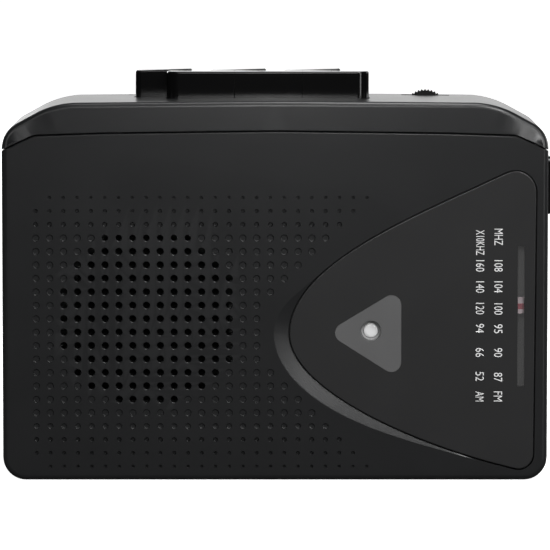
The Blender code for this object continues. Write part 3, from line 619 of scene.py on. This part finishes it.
def lettering(word):
    """The flat mesh of a word."""
    text = bpy.data.curves.new("word", "FONT")
    text.body = word
    text.size = 1.0
    text.offset = -0.004
    text.resolution_u = 3
    holder = bpy.data.objects.new("word", text)
    bpy.context.scene.collection.objects.link(holder)
    bpy.context.view_layer.update()
    letters = bpy.data.meshes.new_from_object(holder.evaluated_get(bpy.context.evaluated_depsgraph_get()))
    bpy.data.objects.remove(holder, do_unlink=True)
    return letters


def build_print():
    """White band names and frequencies, turned to read down the dial."""
    shape = bmesh.new()
    for x, words in DIAL_COLUMNS.items():
        for word, z, length in words:
            letters = lettering(word)
            low = Vector(min(v.co[axis] for v in letters.vertices) for axis in range(3))
            high = Vector(max(v.co[axis] for v in letters.vertices) for axis in range(3))
            middle, size = (low + high) / 2, high - low
            for vertex in letters.vertices:
                along = (vertex.co.x - middle.x) / size.x * length
                across = (vertex.co.y - middle.y) / size.y * LETTER_HEIGHT
                vertex.co = Vector((x + across, LENS_FRONT - 0.012, z - along)) * MM
            shape.from_mesh(letters)
            bpy.data.meshes.remove(letters)
    mesh = bpy.data.meshes.new("dial_print")
    shape.to_mesh(mesh)
    shape.free()
    piece = bpy.data.objects.new("dial_print", mesh)
    bpy.context.scene.collection.objects.link(piece)
    mesh.materials.append(PRINT)
    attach(piece, "case")


# ---------------------------------------------------------------- controls

def add_key(shape, x, y, bottom, tops, radii, joined=(0, 0)):
    """A key cap with a rounded rim.

    tops give its height at the left and right, and joined how much of the rim is cut off at each.
    """
    left, right = radii
    low, high = x[0] - joined[0], x[1] + joined[1]
    outline = rounded([(low, y[0], left), (high, y[0], right), (high, y[1], right), (low, y[1], left)], 8)
    steps = [(None, 0.0)]
    steps += [(KEY_RIM * (1 - math.sin(angle)), KEY_RIM * (1 - math.cos(angle))) for angle in quarter_turn(6)]
    rings = []
    for drop, inset in steps:
        ring = []
        for u, v in grown(outline, -inset):
            u = min(max(u, x[0]), x[1])
            top = tops[0] + (tops[1] - tops[0]) * (u - x[0]) / (x[1] - x[0])
            ring.append((u, v, bottom if drop is None else top - drop))
        rings.append(ring)
    add_rings(shape, rings)


def build_keys():
    for index, name in enumerate(("play_key", "stop_key", "pause_key")):
        low = FRONT_KEY_X + FRONT_KEY_PITCH * index
        high = low + FRONT_KEY_PITCH - (GAP if index == 2 else 0.05)
        radii = [BLOCK_RADIUS if index == end else KEY_SEAM_RADIUS for end in (0, 2)]
        joined = [0 if index == end else KEY_SEAM for end in (0, 2)]
        finish_piece(add_piece(f"{name}_cap", GLOSS, lambda shape: add_key(
            shape, (low, high), FRONT_KEY_Y, 79.0, (KEY_TOP, KEY_TOP), radii, joined),
            name, [name]), 40)
    for index, name in enumerate(("record_key", "rewind_key", "forward_key")):
        low = REAR_KEY_X + REAR_KEY_PITCH * index
        finish_piece(add_piece(f"{name}_cap", GLOSS, lambda shape: add_key(
            shape, (low, low + REAR_KEY_WIDTH), REAR_KEY_Y, 80.2, (KEY_TOP - 0.1, KEY_TOP + 0.3), (1.3, 0.8)),
            name, [name]), 40)


def add_knurled(shape, centre, radius, bore, teeth, depth, low, high):
    """A thumbwheel with fine rounded teeth and a bevelled rim."""
    rings = []
    for level, inset in ((low, 0.45), (low + 0.35, 0), (high - 0.35, 0), (high, 0.45)):
        ring = []
        for step in range(teeth * 4):
            angle = 2 * math.pi * step / (teeth * 4)
            reach = radius - inset - depth * (0.5 - 0.5 * math.cos(2 * math.pi * step / 4))
            ring.append((centre[0] + reach * math.cos(angle), level, centre[1] + reach * math.sin(angle)))
        rings.append(ring)
    for level in (high, low):
        rings.append([(u, level, v) for u, v in circle(bore, teeth * 4, centre)])
    add_rings(shape, rings, closed=True)


def build_wheels():
    finish_piece(add_piece("volume_thumbwheel", DARK, lambda shape: add_knurled(
        shape, VOLUME, VOLUME_RADIUS, 1.1, 40, 0.42, 12.6, 14.6),
        "volume_wheel", ["volume_wheel"]))
    finish_piece(add_piece("tuning_thumbwheel", DARK, lambda shape: add_knurled(
        shape, TUNING, TUNING_RADIUS, 1.6, 84, 0.35, -2.2, 0.6),
        "tuning_wheel", ["tuning_wheel"]))


# ---------------------------------------------------------------- door, cover and small fittings

def build_door():
    """The door plate with its pocket, hinge stubs, window frame and ribs."""
    inside, outside = DOOR_Y

    def add_plate(shape):
        profile = [(inside, HINGE_Z + 1.2), (inside, DOOR_TOP), (outside, DOOR_TOP), (outside, HINGE_Z)]
        for step in range(1, 17):
            angle = -math.radians(7.5 * step)
            profile.append((HINGE_Y + 1.6 * math.cos(angle), HINGE_Z + 1.6 * math.sin(angle)))
        add_prism(shape, profile, "X", -DOOR_HALF, DOOR_HALF)
    door = add_piece("door_shell", SHELL, add_plate, "cassette_door", ["cassette_door"])
    face = rounded([(-54, -5, 0), (54, -5, 0), (54, 72, 1.5), (-54, 72, 1.5)], 8)
    carve(door, lambda shape: add_stepped(
        shape, face, "Y", [(10, 0), (17.9, 0), (18.2, -0.12), (18.4, -0.35), (18.6, -0.7)]), "INTERSECT")

    def add_pocket(shape):
        add_prism(shape, [
            (-53, 4.4), (53, 4.4), (53, 40), (51.3, 40), (51.3, 5.3), (-51.3, 5.3), (-51.3, 40), (-53, 40),
        ], "Y", 5.0, 16.8)
    carve(door, add_pocket, "UNION")

    def add_stubs(shape):
        for side in (-1, 1):
            add_turned(shape, [(0.9, side * 53.0), (0.9, side * 55.6)], (HINGE_Y, HINGE_Z), "X", 24)
    carve(door, add_stubs, "UNION")
    frame_hole = soft_rectangle(-24, 24, 24, 46, 2)

    def add_details(shape):
        add_stepped(shape, frame_hole, "Y", [(15, 0), (17.9, 0), (18.6, 0.7)])
        for index in range(5):
            low = 63.0 + 1.5 * index
            add_prism(shape, soft_rectangle(-9, 9, low, low + 0.75, 0.35, 4), "Y", 18.1, 20)
        for side in (-1, 1):
            for index in range(9):
                low = 26.2 + 2.1 * index
                ends = sorted((side * 28.5, side * (49 - abs(index - 4) * 1.4)))
                add_prism(shape, soft_rectangle(*ends, low, low + 0.7, 0.3, 4), "Y", 18.15, 20)
    carve(door, add_details)
    finish_piece(door)


def build_cover():
    """The sliding cover: a flat plate that follows the case's rounded corner at its right end."""
    centre = (HALF_WIDTH - BASE_CORNER, BASE_CORNER)
    end = math.asin((BASE_CORNER - COVER_THICK) / BASE_CORNER)
    profile = [(COVER_LEFT, 0)]
    for step in range(13):
        angle = -math.pi / 2 + (math.pi / 2 - end) * step / 12
        profile.append((centre[0] + BASE_CORNER * math.cos(angle), centre[1] + BASE_CORNER * math.sin(angle)))
    profile.append((COVER_LEFT, COVER_THICK))
    cover = add_piece("battery_lid", SHELL, lambda shape: add_prism(
        shape, profile, "Y", -15.45, BAY_BACK - GAP), "battery_cover", ["battery_cover"])

    def add_grip(shape):
        for index in range(6):
            x = 34 + 2.2 * index
            add_prism(shape, soft_rectangle(x, x + 0.9, -12.4, -4.2, 0.4, 4), "Z", -1, 0.45)
        add_prism(shape, [(49.0, -10.4), (52.2, -8.3), (49.0, -6.2)], "Z", -1, 0.35)
    carve(cover, add_grip)
    finish_piece(cover)


def add_cross(shape, centre, turn):
    """A cross recess in a screw's head."""
    arm, half = 0.95, 0.17
    corners = []
    for quarter in range(4):
        angle = turn + math.pi / 2 * quarter
        cosine, sine = math.cos(angle), math.sin(angle)
        for u, v in ((arm, -half), (arm, half), (half, half)):
            corners.append((centre[0] + u * cosine - v * sine, centre[1] + u * sine + v * cosine))
    add_prism(shape, corners, "Y", 17.2, 19)


def build_screws():
    """Four long screws, each recess turned a little differently."""
    profile = [(0.3, -13.1), (0.9, -12.2), (0.9, 16.7), (1.55, 16.75), (1.55, 17.35), (1.3, 17.7), (0.8, 17.88),
               (0.3, 17.9)]
    places = [(x, z) for x in (-POST_X, POST_X) for z in (POST_LOW, POST_HIGH)]
    for number, centre in enumerate(places, 1):
        screw = add_piece(f"screw_{number}", FINISHES["zinc_steel"], lambda shape: add_turned(
            shape, profile, centre, sides=32), "case", [f"case_screw_{number}"])
        carve(screw, lambda shape: add_cross(shape, centre, 0.4 * number))
        finish_piece(screw)


def build_switch():
    """The ribbed sliding knob, with its tongue through the slot."""
    outline = soft_rectangle(4.9, 10.1, 57, 70, 1.2)
    knob = add_piece("function_knob", GLOSS, lambda shape: add_stepped(shape, outline, "X", [
        (60.3, -0.2), (60.5, 0), (61.7, 0), (62.05, -0.1), (62.3, -0.35), (62.4, -0.7),
    ]), "switch_knob", ["switch_knob"])
    carve(knob, lambda shape: add_box(shape, (57.3, 60.6), (6.2, 8.8), (59, 63)), "UNION")

    def add_ribs(shape):
        for index in range(6):
            low = 59.3 + 1.5 * index
            add_box(shape, (61.95, 64), (4, 11), (low, low + 0.7))
    carve(knob, add_ribs)
    finish_piece(knob)


def build_pointer():
    """A red needle with pale ends, standing forward in the dial slot."""
    low, high = POINTER_Z - POINTER_HEIGHT / 2, POINTER_Z + POINTER_HEIGHT / 2
    red_from, red_to = low + 0.9, high - 1.3

    def add_needle(shape):
        profile = [(48.8, -15.8), (53.45, -15.8), (53.45, -17.25), (54.75, -17.25), (54.75, -15.8),
                   (55.2, -15.8), (55.2, -14.8), (48.8, -14.8)]
        add_rings(shape, [[(u, v, level) for u, v in profile] for level in (low, red_from, red_to, high)])
    needle = add_piece("pointer_needle", FINISHES["pointer_red"], add_needle,
                       "pointer", ["pointer"])
    needle.data.materials.append(POINTER_PALE)
    for face in needle.data.polygons:
        level = face.center.z / MM
        if level < red_from or level > red_to:
            face.material_index = 1


def build_jacks():
    """The two sockets' rings in the left side."""
    for name, z, material in (
        ("headphone_ring", HEADPHONE_Z, "bright_steel"), ("power_ring", POWER_Z, "dark_plastic"),
    ):
        finish_piece(add_piece(name, FINISHES[material], lambda shape: add_turned(shape, [
            (1.75, -58.2), (2.25, -58.2), (2.25, -59.75), (2.1, -59.9), (1.9, -59.9), (1.75, -59.75),
        ], (JACK_Y, z), "X", 40, closed=True), "case"))


# ---------------------------------------------------------------- room

# Each lamp's name, place and aim in metres, size in metres and power in watts.
LAMPS = (
    ("key_light", (0.36, -0.6, 0.74), (0, 0, 0.05), 0.4, 7.0),
    ("top_light", (0.05, -0.05, 1.0), (0, 0, 0.05), 0.4, 2.0),
    ("strip_light", (0.035, -0.03, 0.27), (0.02, 0, 0.07), 0.07, 0.12),
    ("front_glow", (0.0, -0.085, 0.104), (0, 0, 0.08), 0.016, 0.0045),
    ("panel_glow", (0.0, -0.3, 0.16), (0, 0, 0.05), 0.08, 0.19),
    ("scoop_light", (0.42, -0.9, 0.36), (0, 0, 0.04), 0.16, 1.5),
    ("side_glow", (0.55, -0.8, 0.1), (0, 0, 0.04), 0.16, 0.6),
    ("corner_light", (-0.45, -0.9, 0.45), (0, 0, 0.06), 0.16, 0.6),
    ("back_fill", (-0.6, 1.1, 0.28), (0, 0, 0.05), 0.5, 6.0),
    ("back_side", (1.0, 0.6, 0.3), (0, 0, 0.05), 0.4, 3.0),
    ("left_strip", (-0.9, -0.25, 0.2), (0, 0, 0.05), 0.2, 0.12),
    ("right_strip", (0.9, -0.25, 0.2), (0, 0, 0.05), 0.2, 0.15),
)


def choose_for_camera(tree, seen, lighting, output):
    """Gives the camera one shader and every other ray another."""
    path = tree.nodes.new("ShaderNodeLightPath")
    choose = tree.nodes.new("ShaderNodeMixShader")
    tree.links.new(path.outputs["Is Camera Ray"], choose.inputs["Fac"])
    tree.links.new(lighting, choose.inputs[1])
    tree.links.new(seen, choose.inputs[2])
    tree.links.new(choose.outputs["Shader"], tree.nodes[output].inputs["Surface"])


def build_floor():
    """Pale paper that looks white but throws little light back on the object."""
    floor = bpy.data.objects.new("floor", mesh_of("floor", lambda shape: add_box(
        shape, (-4000, 4000), (-4000, 4000), (-2, -0.05))))
    bpy.context.scene.collection.objects.link(floor)
    paper = surface("pale_floor", (0.93, 0.93, 0.93), 0.6, grain=0.1, mottle=0.01, specular=0.1)
    shader = paper.node_tree.nodes["Principled BSDF"]
    shader.inputs["Emission Color"].default_value = (1, 1, 1, 1)
    shader.inputs["Emission Strength"].default_value = 0.95
    dim = paper.node_tree.nodes.new("ShaderNodeBsdfDiffuse")
    dim.inputs["Color"].default_value = (0.12, 0.12, 0.12, 1)
    choose_for_camera(paper.node_tree, shader.outputs["BSDF"], dim.outputs["BSDF"], "Material Output")
    floor.data.materials.append(paper)


def build_world():
    """A studio that is bright behind the object and dark around it, and looks plain white."""
    world = bpy.data.worlds.new("room")
    bpy.context.scene.world = world
    world.use_nodes = True
    nodes, links = world.node_tree.nodes, world.node_tree.links
    light = nodes["Background"]
    light.inputs["Color"].default_value = (1, 1, 1, 1)
    seen = nodes.new("ShaderNodeBackground")
    seen.inputs["Color"].default_value = (1, 1, 1, 1)
    seen.inputs["Strength"].default_value = 1.0
    place = nodes.new("ShaderNodeTexCoord")
    facing = nodes.new("ShaderNodeVectorMath")
    facing.operation = "DOT_PRODUCT"
    facing.inputs[1].default_value = (0, 0.985, 0.174)
    depth = nodes.new("ShaderNodeMapRange")
    depth.inputs["From Min"].default_value = 0.92
    depth.inputs["From Max"].default_value = 0.985
    depth.inputs["To Min"].default_value = 0.03
    depth.inputs["To Max"].default_value = 1.4
    links.new(place.outputs["Generated"], facing.inputs[0])
    links.new(facing.outputs["Value"], depth.inputs["Value"])
    links.new(depth.outputs["Result"], light.inputs["Strength"])
    choose_for_camera(world.node_tree, seen.outputs["Background"], light.outputs["Background"], "World Output")


def build_lamps():
    for name, place, aim, size, power in LAMPS:
        lamp = bpy.data.lights.new(name, "AREA")
        lamp.shape, lamp.size, lamp.energy = "SQUARE", size, power
        holder = bpy.data.objects.new(name, lamp)
        holder.location = place
        holder.visible_camera = False
        holder.rotation_euler = (Vector(aim) - Vector(place)).to_track_quat("-Z", "Y").to_euler()
        bpy.context.scene.collection.objects.link(holder)


def build_camera():
    camera = bpy.data.cameras.new("camera")
    camera.lens = CAMERA_LENS
    camera.sensor_width = 36
    camera.clip_end = 20
    holder = bpy.data.objects.new("camera", camera)
    bpy.context.scene.collection.objects.link(holder)
    aim = Vector(CAMERA_AIM) * MM
    tilt = math.radians(CAMERA_TILT)
    holder.location = aim + Vector((0, -math.cos(tilt), math.sin(tilt))) * CAMERA_DISTANCE
    holder.rotation_euler = (aim - holder.location).to_track_quat("-Z", "Y").to_euler()
    bpy.context.scene.camera = holder
    bpy.context.scene.view_settings.view_transform = "Standard"


finish_frame_nodes()
build_panel()
build_seam_lip()
build_shell()
build_lens()
build_led()
build_print()
build_keys()
build_wheels()
build_door()
build_cover()
build_screws()
build_switch()
build_pointer()
build_jacks()
build_floor()
build_world()
build_lamps()
build_camera()
